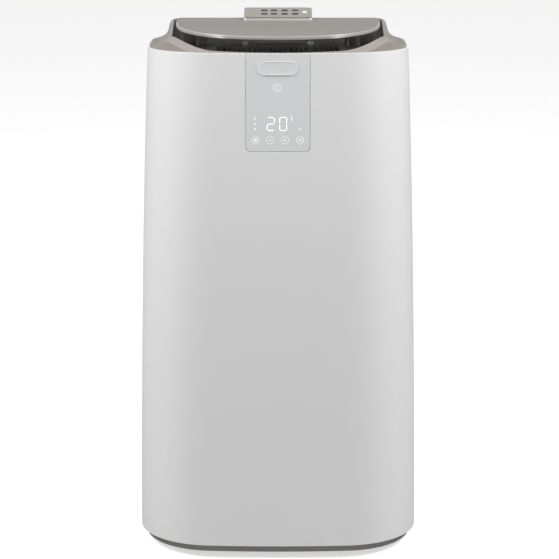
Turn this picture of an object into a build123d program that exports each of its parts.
from build123d import *
import math
import os

# Portable air conditioner, in millimetres. +Z is up, the front faces -Y, and the origin is on the floor
# under the middle of the body. The flap is modelled open and every other moving piece at its rest.

# ---------------------------------------------------------------- clearances
running = 0.05  # radial clearance of a shaft in a hole
rest_gap = 0.3  # between pieces that rest on or pass each other
seam_gap = 0.6  # visible joint between two skins
panel_gap = 0.5  # round a piece let into a skin

# ---------------------------------------------------------------- body and shells
body_width = 440.0
body_depth = 385.0
lean = 0.006  # taper of each side at the floor
curve = 2.2e-5  # growth of that taper with height
corner = 118.0
front_bulge = 14.0
side_bulge = 10.0
levels = (0.0, 290.0, 580.0, 870.0)  # heights of the sections that shape the body
wall = 3.0
shell_bottom = 22.0
seam_y = 40.0  # where the front shell meets the rear shell
rim_height = 792.0
rim_front = -174.0
rim_slope = 0.05

# ---------------------------------------------------------------- base and casters
base_bottom = 10.0
base_inset = 9.5
base_step = 30.0  # above this the base fills the shells
base_top = 75.0
deck = 54.0
deck_thick = 4.0
caster_x = 140.0
caster_y = 110.0
wheel_radius = 20.0
wheel_width = 18.0
trail = 12.0
axle_radius = 3.0
fork_thick = 3.0
stem_radius = 4.0
stem_length = 6.5
boss_radius = 10.0
boss_low = 47.3
fork_front = 8.0  # from the stem to the ends of the fork
fork_back = 20.0
leg_half = 7.0
leg_low = 14.0
tyre_round = 3.0
screw_x = 140.0
screw_z = (95.0, 500.0)

# ---------------------------------------------------------------- top housing
shoulder = 44.0  # width over which the top rises from the rim to its plateau
shoulder_curve = ((19.0, 0.1), (29.0, 0.5))  # distance from its foot, and share of its rise
edge_x = 202.0
collar_low = 748.0
ridge = ((-205, 794), (-150, 794.5), (-60, 802.4), (20, 810), (58, 813.5), (90, 808), (140, 793), (205, 774))
well_floor = 771.0
well_gap = 4.5  # between the flap and the edge of the well
well_back = 73.0
well_bulge = 10.0
well_corner = 75.0

# ---------------------------------------------------------------- flap
flap_half = 159.0
flap_wide_y = 13.0
flap_front = -152.0
flap_back = 66.0
flap_top = 814.0
flap_thick = 5.0
flap_corner = 10.0
trim_width = 4.0
notch_half = 54.2
notch_front = 32.0
hinge_y = 56.0
hinge_z = 798.0
pin_radius = 2.0
lug_x = (113.0, 125.0)
lug_half = 6.0
ear_thick = 4.0
motor_radius = 9.5
motor_length = 19.0

# ---------------------------------------------------------------- outlet and vanes
outlet_half = 100.0
outlet_front = -68.0
outlet_back = 50.0
outlet_low = 738.0
rib_thick = 1.5
rib_pitch = 8.0
vane_places = (17.0, 51.0, 85.0)
vane_z = 752.0
vane_front = -60.0
vane_back = 34.0
vane_thick = 1.6
vane_up = 12.0
crank_reach = 9.0
vane_pin = 1.5
tab_y = 16.0
tab_top = 784.0
tab_half = 3.5
tab_room = 15.0  # half the width of the opening a tab swings in
crank_pin = 1.2

# ---------------------------------------------------------------- control panel
panel_half = 48.5
panel_low = 644.0
panel_corner = 6.6
board_half = 40.0
board_front = -173.6
board_thick = 1.6
board_z = (655.0, 700.0)
chip_half = 15.0
chip_back = -166.0
chip_z = (670.0, 690.0)

# ---------------------------------------------------------------- rear
grille_half = 125.0
grille_rim = 5.0
grille_inner = 163.3  # where the rims of the grilles end inside
filter_thick = 3.0
filter_inset = 2.0
upper_grille_z = (545.0, 730.0)
lower_grille_z = (110.0, 330.0)
slot_pitch = 10.0
slot_open = 5.0
port_z = 440.0
port_radius = 73.0
collar_start = 118.3
collar_length = 73.0
collar_stop = 176.5  # front of the flange that stops it behind the skin
drain_z = 92.0
drain_radius = 8.0
plug_start = 172.0
plug_length = 20.2
plug_slot = 6.0
plug_slot_y = 189.5
gland_x = 90.0
gland_radius = 8.0
gland_start = 182.3
gland_length = 9.0
cord_radius = 4.0
handle_y = (56.0, 136.0)
handle_z = (664.0, 704.0)
handle_x = 168.0
screw_radius = 3.0

# ---------------------------------------------------------------- cooling unit
tray_low = 520.0
tray_thick = 12.0
coil_half = 145.0
coil_thick = 24.0
coil_top = 715.0
header_x = 150.0
header_y = 130.0
header_low = 524.5
header_radius = 5.5
header_length = 188.0
condenser_half = 160.0
condenser_y = (128.0, 150.0)
condenser_top = 360.0
lower_header_x = 165.0
lower_header_y = 139.0
lower_header_length = 300.0
wheel_bore = 4.0
upper_wheel = 88.0
lower_wheel = 80.0
upper_axis = 636.0
lower_axis = 180.0
scroll_gap = 8.0
lower_front = 50.0
lower_back = 118.0
duct_half = 92.0
duct_top = 517.0
compressor_x = -108.0
compressor_y = -45.0
compressor_radius = 55.0
compressor_height = 230.0
foot_height = 8.0
box_x = (60.0, 150.0)
box_y = (-120.0, -20.0)
box_top = 240.0
pipe_heights = (400.0, 440.0, 470.0, 480.0)
pipe_clear = 0.3  # between a pipe's end and what it runs to

# ---------------------------------------------------------------- remote control
remote_length = 107.0
remote_width = 46.0
remote_base = 6.6
remote_face_thick = 2.4
remote_tilt = 12.0
remote_front = 38.0
remote_low = 810.0
tongue_half = 50.0
tongue_low = 790.0
key_columns = (-21.5, -6.5, 10.5, 27.0)
key_rows = (15.0, 31.0)
key_length = 9.0
key_width = 5.0
key_rise = 0.8
key_gap = 0.25
key_flange = 0.9
power_x = 42.0
power_y = 23.0
power_radius = 4.0
power_room = 6.0
key_low = 5.4
key_room = 1.4
key_travel = 1.2
door_half = 19.7
door_front = 14.3
door_thick = 1.4
grip_y = 40.0

os.makedirs("parts", exist_ok=True)


# ---------------------------------------------------------------- helpers
def outline(height, inset):
    """Bulged rectangle with large round corners: the body's plan at a height, moved in by inset."""
    half_x = body_width / 2 - lean * height - curve * height**2 - inset
    half_y = half_x - (body_width - body_depth) / 2
    far_x = half_x - side_bulge
    far_y = half_y - front_bulge
    with BuildSketch(Plane.XY.offset(height)) as plan:
        with BuildLine():
            ThreePointArc((-far_x, -far_y), (0, -half_y), (far_x, -far_y))
            ThreePointArc((far_x, -far_y), (half_x, 0), (far_x, far_y))
            ThreePointArc((far_x, far_y), (0, half_y), (-far_x, far_y))
            ThreePointArc((-far_x, far_y), (-half_x, 0), (-far_x, -far_y))
        make_face()
        fillet(plan.vertices(), corner - inset)
    return plan.sketch


def body(inset):
    """The whole body, its skin moved in by inset."""
    with BuildPart() as solid:
        loft([outline(height, inset) for height in levels])
    return solid.part


def slab(x, y, z, mode=Mode.ADD, radius=0.0, base=Plane.XY):
    """A slab between two x, two y and two z values of a plane, in the piece being built."""
    with BuildSketch(base.offset(z[0])) as plan:
        with Locations(((x[0] + x[1]) / 2, (y[0] + y[1]) / 2)):
            if radius:
                RectangleRounded(x[1] - x[0], y[1] - y[0], radius)
            else:
                Rectangle(x[1] - x[0], y[1] - y[0])
    extrude(plan.sketch, amount=z[1] - z[0], mode=mode)


def rod(start, direction, radius, length, mode=Mode.ADD):
    """A round bar from a point along a direction, in the piece being built."""
    with BuildSketch(Plane(origin=start, z_dir=direction)) as disc:
        Circle(radius)
    extrude(disc.sketch, amount=length, mode=mode)


def window(half_x, z, radius, y=100.0, depth=150.0, mode=Mode.ADD):
    """A rounded rectangle seen from front or rear, taken from y through a depth along Y."""
    plane = Plane(origin=(0, y, (z[0] + z[1]) / 2), x_dir=(1, 0, 0), z_dir=(0, 1, 0))
    with BuildSketch(plane) as face:
        RectangleRounded(2 * half_x, z[1] - z[0], radius)
    extrude(face.sketch, amount=depth, mode=mode)


def finish(builder, name):
    """Name a piece and write it out."""
    builder.part.label = name
    export_step(builder.part, f"parts/{name}.step")


outer = body(0)
inner = body(wall)
fitted = body(wall + rest_gap)
tall = 900.0
far = 260.0
rim_plane = Plane(origin=(0, rim_front, rim_height), x_dir=(1, 0, 0), z_dir=(0, rim_slope, 1))


def crown(drop):
    """Everything below the top surface lowered by drop: flat rim, shoulder and sloping plateau."""
    sections = []
    for y, plateau in ridge:
        low = rim_height - rim_slope * (y - rim_front) - drop
        high = plateau - drop
        foot = collar_low - 50
        with BuildSketch(Plane.XZ.offset(-y)) as section:
            with BuildLine():
                for side in (1, -1):
                    rising = [(edge_x - run, low + share * (high - low)) for run, share in shoulder_curve]
                    Polyline((side * far, foot), (side * far, low), (side * edge_x, low))
                    Spline(
                        (side * edge_x, low),
                        *[(side * x, z) for x, z in rising],
                        (side * (edge_x - shoulder), high),
                        tangents=((-side, 0), (-side, 0)),
                    )
                Line((edge_x - shoulder, high), (shoulder - edge_x, high))
                Line((far, foot), (-far, foot))
            make_face()
        sections.append(section.sketch)
    with BuildPart() as solid:
        loft(sections)
    return solid.part


def well(low, high, grow):
    """An upright solid on the outline of the well under the flap, moved out by grow."""
    half = flap_half + well_gap + grow
    front = flap_front - well_gap - grow
    back = well_back + grow
    with BuildSketch(Plane.XY.offset(low)) as plan:
        with BuildLine():
            ThreePointArc((-half, front + well_bulge), (0, front), (half, front + well_bulge))
            Polyline((half, front + well_bulge), (half, back), (-half, back), (-half, front + well_bulge))
        make_face()
        fillet(plan.vertices().group_by(Axis.Y)[0], well_corner + grow)
        fillet(plan.vertices().group_by(Axis.Y)[-1], flap_corner + well_gap + grow)
    with BuildPart() as solid:
        extrude(plan.sketch, amount=high - low)
    return solid.part


def flap_shape(low, high, inset):
    """An upright solid on the flap's D outline, moved in by inset at the front and sides."""
    half = flap_half - inset
    depth = flap_wide_y - flap_front - inset
    back = flap_back
    with BuildSketch(Plane.XY.offset(low)) as plan:
        with BuildLine():
            for side in (1, -1):
                Spline(
                    (side * half, flap_wide_y),
                    (side * 0.72 * half, flap_wide_y - 0.768 * depth),
                    (0, flap_wide_y - depth),
                    tangents=((0, -1), (-side, 0)),
                )
            Polyline((half, flap_wide_y), (half, back), (-half, back), (-half, flap_wide_y))
        make_face()
        fillet(plan.vertices().group_by(Axis.Y)[-1], flap_corner)
    with BuildPart() as solid:
        extrude(plan.sketch, amount=high - low)
    return solid.part


def intake(z):
    """A louvred cover let into the rear skin between two heights, with a rim that reaches inwards."""
    low = z[0] + panel_gap
    high = z[1] - panel_gap
    half = grille_half - panel_gap
    with BuildPart() as hollow:
        add(inner)
        window(half - grille_rim, (low + grille_rim, high - grille_rim), grille_rim, mode=Mode.INTERSECT)
    with BuildPart() as cover:
        add(outer)
        window(half, (low, high), 2 * grille_rim, grille_inner, mode=Mode.INTERSECT)
        add(hollow.part, mode=Mode.SUBTRACT)
        middle = (low + high) / 2
        count = int((high - low - 3 * grille_rim) / slot_pitch)
        with BuildSketch(Plane(origin=(0, 100, middle), x_dir=(1, 0, 0), z_dir=(0, 1, 0))) as slots:
            with GridLocations(half * 0.94, slot_pitch, 2, count):
                SlotOverall(half * 0.86, slot_open)
        extrude(slots.sketch, amount=150, mode=Mode.SUBTRACT)
    return cover


# ================================================================ shells
screw_places = [(side * screw_x, z) for side in (1, -1) for z in screw_z]
with BuildPart() as front_panel:
    add(outer)
    add(inner, mode=Mode.SUBTRACT)
    slab((-far, far), (-far, seam_y - seam_gap / 2), (shell_bottom, tall), mode=Mode.INTERSECT)
    split(bisect_by=rim_plane, keep=Keep.BOTTOM)
    window(panel_half, (panel_low, tall), panel_corner, -far, far - 100, Mode.SUBTRACT)
finish(front_panel, "front_panel")

with BuildPart() as rear_panel:
    add(outer)
    add(inner, mode=Mode.SUBTRACT)
    slab((-far, far), (seam_y + seam_gap / 2, far), (shell_bottom, tall), mode=Mode.INTERSECT)
    split(bisect_by=rim_plane, keep=Keep.BOTTOM)
    window(grille_half, upper_grille_z, 2 * grille_rim, mode=Mode.SUBTRACT)
    window(grille_half, lower_grille_z, 2 * grille_rim, mode=Mode.SUBTRACT)
    rod((0, 100, port_z), (0, 1, 0), port_radius + wall + panel_gap, 150, Mode.SUBTRACT)
    rod((0, 100, drain_z), (0, 1, 0), drain_radius + running, 150, Mode.SUBTRACT)
    rod((gland_x, 100, drain_z), (0, 1, 0), gland_radius + running, 150, Mode.SUBTRACT)
    for x, z in screw_places:
        rod((x, 100, z), (0, 1, 0), screw_radius + running, 150, Mode.SUBTRACT)
    for side in (1, -1):
        across = sorted((side * (handle_x - 10), side * far))
        slab(across, handle_y, handle_z, Mode.SUBTRACT)
finish(rear_panel, "rear_panel")

with BuildPart() as side_handles:
    for side in (1, -1):
        across = sorted((side * handle_x, side * far))
        along = (handle_y[0] + rest_gap, handle_y[1] - rest_gap)
        slab(across, along, (handle_z[0] + rest_gap, handle_z[1] - rest_gap))
    add(outer, mode=Mode.INTERSECT)
    for side in (1, -1):
        across = sorted((side * (handle_x + wall), side * far))
        along = (handle_y[0] + wall, handle_y[1] - wall)
        slab(across, along, (handle_z[0] + wall, handle_z[1] - wall), Mode.SUBTRACT)
finish(side_handles, "side_handles")

with BuildPart() as case_screws:
    for x, z in screw_places:
        rod((x, 155, z), (0, 1, 0), screw_radius, 60)
    add(body(1), mode=Mode.INTERSECT)
finish(case_screws, "case_screws")

with BuildPart() as control_panel:
    add(outer)
    add(inner, mode=Mode.SUBTRACT)
    heights = (panel_low + panel_gap, tall)
    window(panel_half - panel_gap, heights, panel_corner, -far, far - 100, Mode.INTERSECT)
    split(bisect_by=rim_plane, keep=Keep.BOTTOM)
finish(control_panel, "control_panel")

with BuildPart() as display_board:
    slab((-board_half, board_half), (board_front, board_front + board_thick), board_z)
    slab((-chip_half, chip_half), (board_front + board_thick, chip_back), chip_z)
finish(display_board, "display_board")

# ================================================================ base and casters
with BuildPart() as base_hollow:
    add(body(base_inset + 4))
    slab((-far, far), (-far, far), (-10, deck - deck_thick), mode=Mode.INTERSECT)
with BuildPart() as base_room:
    add(body(2 * wall + rest_gap))
    slab((-far, far), (-far, far), (deck, 2 * base_top), mode=Mode.INTERSECT)
with BuildPart() as base_skirt:
    add(body(base_inset))
    slab((-far, far), (-far, far), (base_bottom, base_step), mode=Mode.INTERSECT)
caster_places = [(side * caster_x, end * caster_y) for end in (-1, 1) for side in (-1, 1)]
with BuildPart() as base_tray:
    add(fitted)
    slab((-far, far), (-far, far), (base_step, base_top), mode=Mode.INTERSECT)
    add(base_skirt.part)
    add(base_hollow.part, mode=Mode.SUBTRACT)
    add(base_room.part, mode=Mode.SUBTRACT)
    for x, y in caster_places:
        rod((x, y, boss_low), (0, 0, 1), boss_radius, deck - boss_low)
    for x, y in caster_places:
        rod((x, y, boss_low - 5), (0, 0, 1), stem_radius + running, deck, Mode.SUBTRACT)
finish(base_tray, "base_tray")

fork_inner = wheel_width / 2 + panel_gap
fork_outer = fork_inner + fork_thick
fork_top = boss_low - rest_gap
for place, (x, y) in zip(("front_left", "front_right", "rear_left", "rear_right"), caster_places):
    with BuildPart() as fork:
        along = (y - fork_front, y + fork_back)
        slab((x - fork_outer, x + fork_outer), along, (fork_top - fork_thick, fork_top))
        rod((x, y, fork_top), (0, 0, 1), stem_radius, stem_length)
        for side in (1, -1):
            across = sorted((x + side * fork_inner, x + side * fork_outer))
            slab(across, (y + trail - leg_half, y + trail + leg_half), (leg_low, fork_top))
        rod((x - fork_outer, y + trail, wheel_radius), (1, 0, 0), axle_radius, 2 * fork_outer)
    finish(fork, f"caster_fork_{place}")
    with BuildPart() as wheel:
        rod((x - wheel_width / 2, y + trail, wheel_radius), (1, 0, 0), wheel_radius, wheel_width)
        fillet(wheel.edges(), tyre_round)
        hub = (x - fork_outer, y + trail, wheel_radius)
        rod(hub, (1, 0, 0), axle_radius + running, 2 * fork_outer, Mode.SUBTRACT)
    finish(wheel, f"caster_wheel_{place}")

# ================================================================ top housing
ear_x = [
    (lug_x[0] - rest_gap - ear_thick, lug_x[0] - rest_gap),
    (lug_x[1] + rest_gap, lug_x[1] + rest_gap + ear_thick),
]
slope = math.tan(math.radians(remote_tilt))
tongue_front = remote_front - 2
tongue_back = remote_front + remote_width + 4
with BuildPart() as housing_hollow:
    add(body(2 * wall + rest_gap))
    add(crown(wall), mode=Mode.INTERSECT)
with BuildPart() as tub:
    add(well(well_floor - wall, tall, wall))
    add(crown(0), mode=Mode.INTERSECT)
with BuildPart() as top_housing:
    add(fitted)
    slab((-far, far), (-far, far), (collar_low, tall), mode=Mode.INTERSECT)
    add(crown(0), mode=Mode.INTERSECT)
    add(housing_hollow.part, mode=Mode.SUBTRACT)
    add(tub.part)
    add(well(well_floor, tall, 0), mode=Mode.SUBTRACT)
    outlet_z = (collar_low, well_floor + 5)
    slab((-outlet_half, outlet_half), (outlet_front, outlet_back), outlet_z, Mode.SUBTRACT)
    with BuildSketch(Plane.YZ) as tongue:
        with BuildLine():
            Polyline(
                (tongue_front, tongue_low),
                (tongue_front, remote_low - rest_gap + slope * (tongue_front - remote_front)),
                (tongue_back, remote_low - rest_gap + slope * (tongue_back - remote_front)),
                (tongue_back, tongue_low),
                close=True,
            )
        make_face()
    extrude(tongue.sketch, amount=tongue_half, both=True)
    for side in (1, -1):
        for near, outside in ear_x:
            across = sorted((side * near, side * outside))
            slab(across, (hinge_y - lug_half, hinge_y + lug_half), (well_floor - 1, hinge_z + 5))
    for side in (1, -1):
        start = (side * (ear_x[0][0] - ear_thick), hinge_y, hinge_z)
        rod(start, (side, 0, 0), pin_radius + running, 40, Mode.SUBTRACT)
finish(top_housing, "top_housing")

# ================================================================ flap
flap_under = flap_top - flap_thick
with BuildPart() as flap_trim:
    add(flap_shape(flap_under, flap_top, 0))
    add(flap_shape(flap_under, flap_top, trim_width), mode=Mode.SUBTRACT)
    slab((-far, far), (-far, flap_wide_y), (flap_under, flap_top), Mode.INTERSECT)
with BuildPart() as flap:
    add(flap_shape(flap_under, flap_top, 0))
    add(flap_trim.part, mode=Mode.SUBTRACT)
    slab((-notch_half, notch_half), (notch_front, far), (flap_under, flap_top), Mode.SUBTRACT)
    for side in (1, -1):
        across = sorted((side * lug_x[0], side * lug_x[1]))
        slab(across, (hinge_y - lug_half, hinge_y + lug_half), (hinge_z, flap_under))
        rod((across[0], hinge_y, hinge_z), (1, 0, 0), lug_half, lug_x[1] - lug_x[0])
    rod((-far, hinge_y, hinge_z), (1, 0, 0), pin_radius + running, 2 * far, Mode.SUBTRACT)
finish(flap, "flap")
finish(flap_trim, "flap_trim")

with BuildPart() as flap_hinge_pins:
    for side in (1, -1):
        rod((side * ear_x[0][0], hinge_y, hinge_z), (side, 0, 0), pin_radius, ear_x[1][1] - ear_x[0][0] + 1)
finish(flap_hinge_pins, "flap_hinge_pins")

motor_end = ear_x[0][0] - rest_gap
with BuildPart() as flap_motor:
    rod((motor_end, hinge_y, hinge_z), (-1, 0, 0), motor_radius, motor_length)
    slab((motor_end - 17, motor_end - 2), (hinge_y + 0.5, hinge_y + 8.5), (well_floor, hinge_z - 3))
finish(flap_motor, "flap_motor")

# ================================================================ outlet and vanes
frame_x = outlet_half - rest_gap
chamber = outlet_half - 4
chamber_front = vane_front - 1
chamber_back = vane_back + 7
with BuildPart() as outlet_grille:
    slab((-frame_x, frame_x), (outlet_front + rest_gap, outlet_back - rest_gap), (outlet_low, well_floor))
    slab((-frame_x - 6, frame_x + 6), (outlet_front - 8, outlet_back + 5), (well_floor, well_floor + 3))
    slab((-chamber, chamber), (chamber_front, chamber_back), (outlet_low, well_floor - 3), Mode.SUBTRACT)
    with BuildSketch(Plane.XY.offset(outlet_low)) as slots:
        with Locations((0, (chamber_front + chamber_back) / 2)):
            with GridLocations(rib_pitch, 1, int(2 * chamber / rib_pitch), 1):
                Rectangle(rib_pitch - rib_thick, chamber_back - chamber_front - 2)
    extrude(slots.sketch, amount=50, mode=Mode.SUBTRACT)
    for side in (1, -1):
        middle = side * vane_places[1]
        across = (middle - tab_room, middle + tab_room)
        slab(across, (tab_y - 5, tab_y + 5), (outlet_low, well_floor + 5), Mode.SUBTRACT)
        for place in vane_places:
            rod((side * place, chamber_front, vane_z), (0, -1, 0), vane_pin + running, 5, Mode.SUBTRACT)
            rod((side * place, chamber_back, vane_z), (0, 1, 0), vane_pin + running, 5, Mode.SUBTRACT)
finish(outlet_grille, "outlet_grille")

for bank, side in (("left", -1), ("right", 1)):
    for number, place in enumerate(vane_places, 1):
        x = side * place
        crank_z = vane_z - crank_reach
        with BuildPart() as vane:
            across = (x - vane_thick / 2, x + vane_thick / 2)
            slab(across, (vane_front, vane_back), (vane_z - vane_up, vane_z + vane_up))
            rod((x, vane_front - 4.5, vane_z), (0, 1, 0), vane_pin, vane_back - vane_front + 15)
            rod((x, vane_back - 4, crank_z), (0, 1, 0), crank_pin, 8)
            if number == 2:
                slab((x - crank_pin, x + crank_pin), (tab_y - 2, tab_y + 2), (vane_z + 8, tab_top - 3))
                slab((x - tab_half, x + tab_half), (tab_y - 3, tab_y + 3), (tab_top - 5, tab_top), radius=2)
        finish(vane, f"vane_{bank}_{number}")
    ends = sorted((side * (vane_places[0] - 4), side * (vane_places[2] + 4)))
    with BuildPart() as link:
        slab(ends, (vane_back + 1, vane_back + 3.5), (crank_z - 3.5, crank_z + 3.5))
        for place in vane_places:
            rod((side * place, vane_back, crank_z), (0, 1, 0), crank_pin + running, 8, Mode.SUBTRACT)
    finish(link, f"link_{bank}")

# ================================================================ rear
upper_cover = intake(upper_grille_z)
finish(upper_cover, "upper_grille")
lower_cover = intake(lower_grille_z)
finish(lower_cover, "lower_grille")

with BuildPart() as upper_filter:
    heights = (upper_grille_z[0] + filter_inset, upper_grille_z[1] - filter_inset)
    start = grille_inner - rest_gap - filter_thick
    window(grille_half - filter_inset, heights, 2 * grille_rim, start, filter_thick)
finish(upper_filter, "upper_filter")

with BuildPart() as exhaust_collar:
    rod((0, collar_start, port_z), (0, 1, 0), port_radius + wall, collar_length)
    rod((0, collar_stop, port_z), (0, 1, 0), port_radius + 2 * wall, wall)
    rod((0, collar_start - 10, port_z), (0, 1, 0), port_radius, far, Mode.SUBTRACT)
finish(exhaust_collar, "exhaust_collar")

with BuildPart() as drain_plug:
    rod((0, plug_start, drain_z), (0, 1, 0), drain_radius, plug_length)
    slab((-plug_slot, plug_slot), (plug_slot_y, far), (drain_z - 1.2, drain_z + 1.2), Mode.SUBTRACT)
finish(drain_plug, "drain_plug")

with BuildPart() as cord_gland:
    rod((gland_x, gland_start, drain_z), (0, 1, 0), gland_radius + wall, wall)
    rod((gland_x, gland_start, drain_z), (0, 1, 0), gland_radius, gland_length)
    rod((gland_x, gland_start - 1, drain_z), (0, 1, 0), cord_radius, far, Mode.SUBTRACT)
finish(cord_gland, "cord_gland")

# ================================================================ cooling unit
tray_floor = tray_low + wall
with BuildPart() as tray_room:
    add(body(wall + rest_gap + 6))
    slab((-far, far), (-far, far), (tray_floor, tray_floor + 30), mode=Mode.INTERSECT)
with BuildPart() as drip_tray:
    add(fitted)
    slab((-far, far), (-far, far), (tray_low, tray_low + tray_thick), mode=Mode.INTERSECT)
    add(tray_room.part, mode=Mode.SUBTRACT)
    for side in (1, -1):
        rod((side * (header_x + 1), header_y, tray_low - 5), (0, 0, 1), 6, 20, Mode.SUBTRACT)
finish(drip_tray, "drip_tray")

with BuildPart() as evaporator_coil:
    along = (header_y - coil_thick / 2, header_y + coil_thick / 2)
    slab((-coil_half, coil_half), along, (tray_floor + rest_gap, coil_top))
    for side in (1, -1):
        rod((side * header_x, header_y, header_low), (0, 0, 1), header_radius, header_length)
finish(evaporator_coil, "evaporator_coil")

with BuildPart() as condenser_coil:
    slab((-condenser_half, condenser_half), condenser_y, (deck, condenser_top))
    for side in (1, -1):
        rod((side * lower_header_x, lower_header_y, deck), (0, 0, 1), 6, lower_header_length)
finish(condenser_coil, "condenser_coil")


def scroll(half, front, back, low, axis_z, cavity, high, inlet):
    """A box round a fan wheel whose axis is along Y, open upwards."""
    with BuildPart() as case:
        slab((-half, half), (front, back), (low, high))
        rod((0, front + wall, axis_z), (0, 1, 0), cavity, back - front - 2 * wall, Mode.SUBTRACT)
        slab((-cavity, cavity), (front + wall, back - wall), (axis_z, high + 1), Mode.SUBTRACT)
        rod((0, back - 2 * wall, axis_z), (0, 1, 0), inlet, 3 * wall, Mode.SUBTRACT)
        rod((0, front - wall, axis_z), (0, 1, 0), wheel_bore + 2, 3 * wall, Mode.SUBTRACT)
    return case


def fan_wheel(radius, front, back, axis_z):
    """A wheel with blades between a disc and a ring, turning on an axis along Y."""
    at_disc = Plane(origin=(0, front, axis_z), x_dir=(1, 0, 0), z_dir=(0, 1, 0))
    with BuildPart() as wheel:
        rod((0, front, axis_z), (0, 1, 0), radius, wall)
        rod((0, front, axis_z), (0, 1, 0), 12, 20)
        with BuildSketch(at_disc) as blades:
            with PolarLocations(radius - 9, 24):
                Rectangle(13, 2)
        extrude(blades.sketch, amount=back - front)
        with BuildSketch(at_disc.offset(back - front - wall)) as ring:
            Circle(radius)
            Circle(radius - 17, mode=Mode.SUBTRACT)
        extrude(ring.sketch, amount=wall)
        rod((0, front - 1, axis_z), (0, 1, 0), wheel_bore + running, 40, Mode.SUBTRACT)
    return wheel


def fan_motor(radius, front, back, axis_z, shaft_end):
    """A motor with its shaft towards the rear."""
    with BuildPart() as motor:
        rod((0, front, axis_z), (0, 1, 0), radius, back - front)
        fillet(motor.edges(), 4)
        rod((0, back - 5, axis_z), (0, 1, 0), wheel_bore, shaft_end - back + 5)
    return motor


upper_front = outlet_front
upper_back = outlet_back
scroll_top = outlet_low - rest_gap
cavity = upper_wheel + scroll_gap
evaporator_scroll = scroll(106, upper_front, upper_back, tray_floor, upper_axis, cavity, scroll_top, 70)
finish(evaporator_scroll, "evaporator_scroll")
evaporator_wheel = fan_wheel(upper_wheel, upper_front + 9, upper_back - 9, upper_axis)
finish(evaporator_wheel, "evaporator_wheel")
evaporator_motor = fan_motor(38, upper_front - 45, upper_front - rest_gap, upper_axis, upper_front + 28)
finish(evaporator_motor, "evaporator_motor")

cavity = lower_wheel + 6
condenser_scroll = scroll(duct_half, lower_front, lower_back, deck, lower_axis, cavity, duct_top, 60)
with BuildPart() as exhaust_duct:
    add(condenser_scroll.part)
    slab((-duct_half, duct_half), (lower_front, lower_back), (duct_top - wall, duct_top))
    rod((0, lower_back - 5, port_z), (0, 1, 0), port_radius, 10, Mode.SUBTRACT)
finish(exhaust_duct, "condenser_scroll")
condenser_wheel = fan_wheel(lower_wheel, lower_front + 8, lower_back - 7, lower_axis)
finish(condenser_wheel, "condenser_wheel")
condenser_motor = fan_motor(36, lower_front - 42, lower_front - rest_gap, lower_axis, lower_front + 27)
finish(condenser_motor, "condenser_motor")

bottle = (compressor_x + 66, compressor_y - 34)
bottle_low = 40.0
compressor_low = deck + foot_height
with BuildPart() as compressor:
    rod((compressor_x, compressor_y, compressor_low), (0, 0, 1), compressor_radius, compressor_height)
    fillet(compressor.edges(), 15)
    rod((compressor_x, compressor_y, compressor_low), (0, 0, 1), 70, 3)
    rod((*bottle, compressor_low + bottle_low), (0, 0, 1), 20, 120)
finish(compressor, "compressor")

with BuildPart() as compressor_mounts:
    with BuildSketch(Plane.XY.offset(deck)) as feet:
        with Locations((compressor_x, compressor_y)):
            with PolarLocations(58, 3):
                Circle(9)
    extrude(feet.sketch, amount=foot_height)
finish(compressor_mounts, "compressor_mounts")

with BuildPart() as electrical_box:
    slab(box_x, box_y, (deck, box_top), radius=6)
    slab(box_x, box_y, (box_top - 8, box_top - 8 + panel_gap), Mode.SUBTRACT)
finish(electrical_box, "electrical_box")

discharge_z, liquid_low, liquid_high, suction_z = pipe_heights
into_coil = header_low - pipe_clear
out_of_coil = deck + lower_header_length + pipe_clear
discharge = [
    (compressor_x, compressor_y, compressor_low + compressor_height + pipe_clear),
    (compressor_x, compressor_y, discharge_z),
    (-lower_header_x, compressor_y, discharge_z),
    (-lower_header_x, lower_header_y, discharge_z),
    (-lower_header_x, lower_header_y, out_of_coil),
]
suction = [
    (*bottle, compressor_low + bottle_low + 120 + pipe_clear),
    (*bottle, suction_z),
    (-header_x, bottle[1], suction_z),
    (-header_x, header_y, suction_z),
    (-header_x, header_y, into_coil),
]
liquid = [
    (lower_header_x, lower_header_y, out_of_coil),
    (lower_header_x, lower_header_y, liquid_low),
    (header_x, header_y, liquid_high),
    (header_x, header_y, into_coil),
]
with BuildPart() as refrigerant_pipes:
    for pipe_radius, points in ((4.0, discharge), (4.0, suction), (3.0, liquid)):
        with BuildLine() as run:
            Polyline(*points)
        with BuildSketch(Plane(origin=points[0], z_dir=(0, 0, 1))) as section:
            Circle(pipe_radius)
        sweep(section.sketch, path=run.line, transition=Transition.ROUND)
finish(refrigerant_pipes, "refrigerant_pipes")

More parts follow.
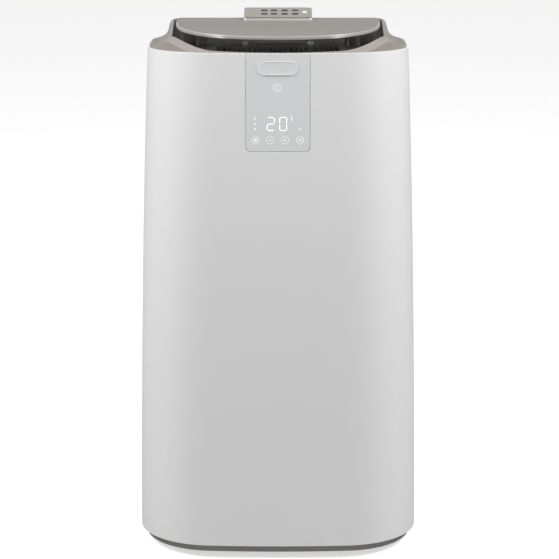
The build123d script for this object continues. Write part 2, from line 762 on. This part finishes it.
# ================================================================ remote control
tilt = math.radians(remote_tilt)
upright = (0, -math.sin(tilt), math.cos(tilt))
remote_plane = Plane(origin=(0, remote_front, remote_low), x_dir=(1, 0, 0), z_dir=upright)
half = remote_length / 2
remote_top = remote_base + remote_face_thick
with BuildPart() as remote_base_shell:
    slab((-half, half), (0, remote_width), (0, remote_base), radius=5, base=remote_plane)
    for row in key_rows:
        for column in key_columns:
            x = (column - key_length / 2 - key_room, column + key_length / 2 + key_room)
            y = (row - key_width / 2 - key_room, row + key_width / 2 + key_room)
            slab(x, y, (key_low - key_travel, remote_base), Mode.SUBTRACT, base=remote_plane)
    x = (power_x - power_room, power_x + power_room)
    y = (power_y - power_room, power_y + power_room)
    slab(x, y, (key_low - key_travel, remote_base), Mode.SUBTRACT, base=remote_plane)
    x = (-door_half - rest_gap, door_half + rest_gap)
    slab(x, (door_front - rest_gap, remote_width), (0, door_thick + rest_gap), Mode.SUBTRACT, base=remote_plane)
finish(remote_base_shell, "remote_base")

with BuildPart() as remote_face:
    slab((-half, half), (0, remote_width), (remote_base, remote_top), radius=5, base=remote_plane)
    for row in key_rows:
        for column in key_columns:
            x = (column - key_length / 2 - key_gap, column + key_length / 2 + key_gap)
            y = (row - key_width / 2 - key_gap, row + key_width / 2 + key_gap)
            slab(x, y, (remote_base, remote_top), Mode.SUBTRACT, base=remote_plane)
    with BuildSketch(remote_plane.offset(remote_base)) as hole:
        with Locations((power_x, power_y)):
            Circle(power_radius + key_gap)
    extrude(hole.sketch, amount=remote_face_thick, mode=Mode.SUBTRACT)
finish(remote_face, "remote_face")

number = 0
for row in key_rows:
    for column in key_columns:
        number += 1
        with BuildPart() as key:
            x = (column - key_length / 2, column + key_length / 2)
            y = (row - key_width / 2, row + key_width / 2)
            slab(x, y, (key_low, remote_top + key_rise), base=remote_plane)
            x = (x[0] - key_flange, x[1] + key_flange)
            y = (y[0] - key_flange, y[1] + key_flange)
            slab(x, y, (key_low, key_low + 1), base=remote_plane)
        finish(key, f"remote_key_{number}")

with BuildPart() as remote_power_key:
    for radius, high in ((power_radius, remote_top + key_rise), (power_radius + key_flange, key_low + 1)):
        with BuildSketch(remote_plane.offset(key_low)) as disc:
            with Locations((power_x, power_y)):
                Circle(radius)
        extrude(disc.sketch, amount=high - key_low)
finish(remote_power_key, "remote_power_key")

with BuildPart() as battery_door:
    slab((-door_half, door_half), (door_front, remote_width), (0, door_thick), base=remote_plane)
    slab((-8, 8), (grip_y, grip_y + 1.5), (0, 0.5), Mode.SUBTRACT, base=remote_plane)
finish(battery_door, "battery_door")
